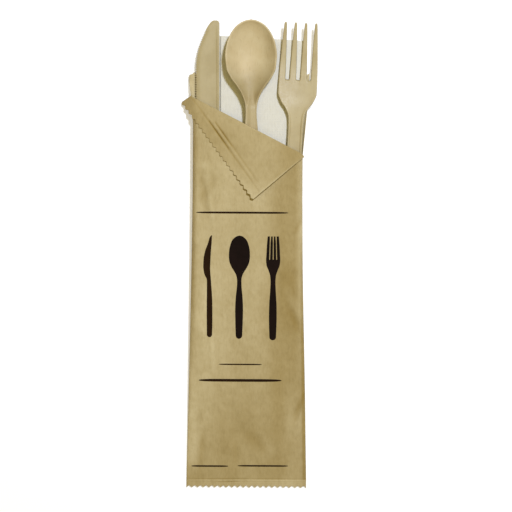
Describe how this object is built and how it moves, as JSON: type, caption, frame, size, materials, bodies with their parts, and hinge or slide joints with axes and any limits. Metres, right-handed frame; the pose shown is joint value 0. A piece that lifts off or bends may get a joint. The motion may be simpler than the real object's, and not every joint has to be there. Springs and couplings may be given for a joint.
{
  "type": "cutlery set in a paper pouch",
  "caption": "Paper pouch with a folded-down front, holding a moulded knife, spoon and fork in front of a folded napkin.",
  "frame": {"origin": "middle of the pouch's back face, on the surface that the set lies on", "axes": "+Y along the set towards the heads of the cutlery, +Z out of the pouch's front, +X to the fork's side"},
  "size_m": [0.0892, 0.3045, 0.0129],
  "materials": {
    "kraft_paper": "brown kraft paper, unglazed, lightly creased",
    "bamboo_fibre": "pale moulded bamboo fibre, fine matte",
    "tissue": "white embossed tissue"
  },
  "bodies": {
    "root": {"kraft_bag": "kraft_paper", "knife": "bamboo_fibre", "spoon": "bamboo_fibre", "fork": "bamboo_fibre", "napkin": "tissue"}
  },
  "joints": []
}
